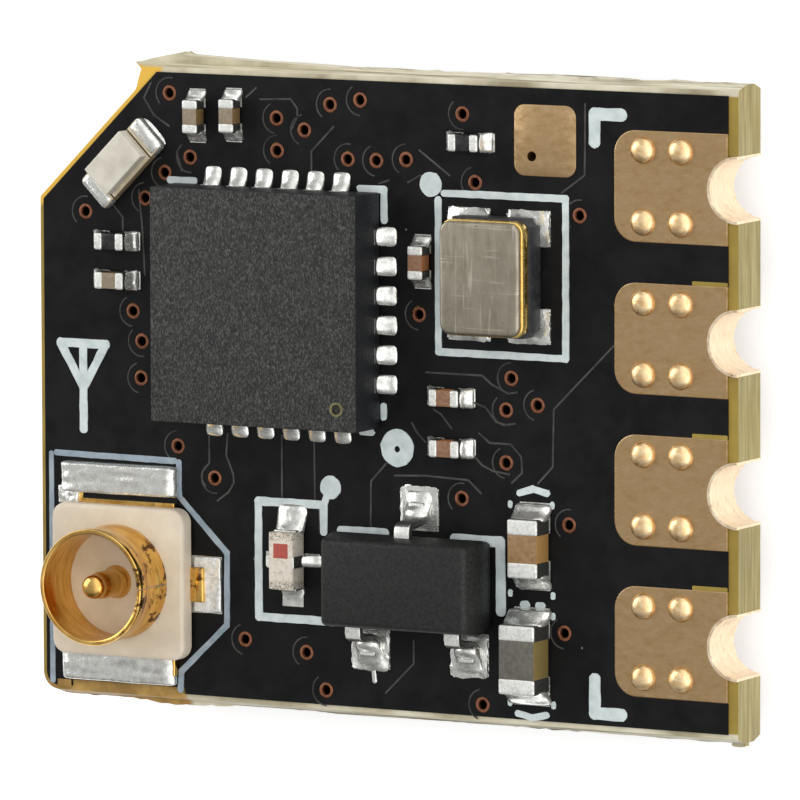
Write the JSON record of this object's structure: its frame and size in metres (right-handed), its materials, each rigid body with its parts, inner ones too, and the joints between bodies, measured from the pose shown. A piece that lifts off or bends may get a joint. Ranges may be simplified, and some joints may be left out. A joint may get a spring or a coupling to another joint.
{
  "type": "radio control receiver",
  "caption": "Tiny bare-board radio control receiver with a push-fit aerial jack, a radio chip and half-round solder pads along one edge.",
  "frame": {"origin": "centre of the overall box in plan, on the surface that the receiver lies on", "axes": "+X towards the edge with the solder pads, +Y towards the edge next to the cut corner, +Z out of the front face"},
  "size_m": [0.0134, 0.011, 0.003],
  "materials": {
    "laminate": "glass-fibre epoxy board, cut edges with fine fibres",
    "mask": "black solder mask, satin with faint mottling",
    "legend": "pale printed legend ink",
    "gold_plate": "immersion gold over copper, brushed matte",
    "copper": "dull copper via plating",
    "mould": "black moulding compound, fine grain",
    "tin": "tin-plated terminals",
    "solder": "bright reflowed solder",
    "dark_ceramic": "dark package ceramic",
    "lid_metal": "dull rolled lid metal with light scratches",
    "seal_gold": "bright gold seal ring",
    "cream_plastic": "cream insulator plastic",
    "shell_gold": "bright gold-plated contact metal",
    "white_ceramic": "white filter ceramic",
    "red_mark": "red printed mark",
    "lamp_lens": "milky epoxy lens",
    "lamp_base": "off-white lamp substrate",
    "capacitor_ceramic": "brown capacitor ceramic",
    "bulk_ceramic": "grey-brown capacitor ceramic",
    "resistor_glaze": "black resistor glaze"
  },
  "bodies": {
    "root": {"board_laminate": "laminate", "solder_mask_front": "mask", "solder_mask_back": "mask", "legend_front": "legend", "legend_back": "legend", "edge_pad_1": "gold_plate", "edge_pad_2": "gold_plate", "edge_pad_3": "gold_plate", "edge_pad_4": "gold_plate", "boot_pad": "gold_plate", "via_barrels": "copper", "radio_chip_body": "mould", "radio_chip_terminals": "tin", "radio_chip_solder": "solder", "oscillator_base": "dark_ceramic", "oscillator_seal_ring": "seal_gold", "oscillator_lid": "lid_metal", "oscillator_solder": "solder", "antenna_jack_base": "cream_plastic", "antenna_jack_shell": "shell_gold", "antenna_jack_pin": "shell_gold", "antenna_jack_solder": "solder", "regulator_body": "mould", "regulator_leads": "tin", "regulator_solder": "solder", "filter_body": "white_ceramic", "filter_mark": "red_mark", "filter_terminals": "tin", "filter_solder": "solder", "status_lamp_base": "lamp_base", "status_lamp_lens": "lamp_lens", "status_lamp_terminals": "tin", "status_lamp_solder": "solder", "resistor_1": "resistor_glaze", "resistor_2": "resistor_glaze", "chip_end_caps": "tin", "chip_solder": "solder", "mcu_body": "mould", "mcu_terminals": "tin", "mcu_solder": "solder", "crystal_base": "dark_ceramic", "crystal_lid": "lid_metal", "crystal_solder": "solder", "back_capacitors": "capacitor_ceramic", "back_resistors": "resistor_glaze", "back_chip_end_caps": "tin", "back_chip_solder": "solder", "capacitor_1": "capacitor_ceramic", "capacitor_2": "capacitor_ceramic", "capacitor_3": "capacitor_ceramic", "capacitor_4": "capacitor_ceramic", "capacitor_5": "capacitor_ceramic", "capacitor_6": "capacitor_ceramic", "capacitor_7": "capacitor_ceramic", "capacitor_8": "bulk_ceramic"}
  },
  "joints": []
}
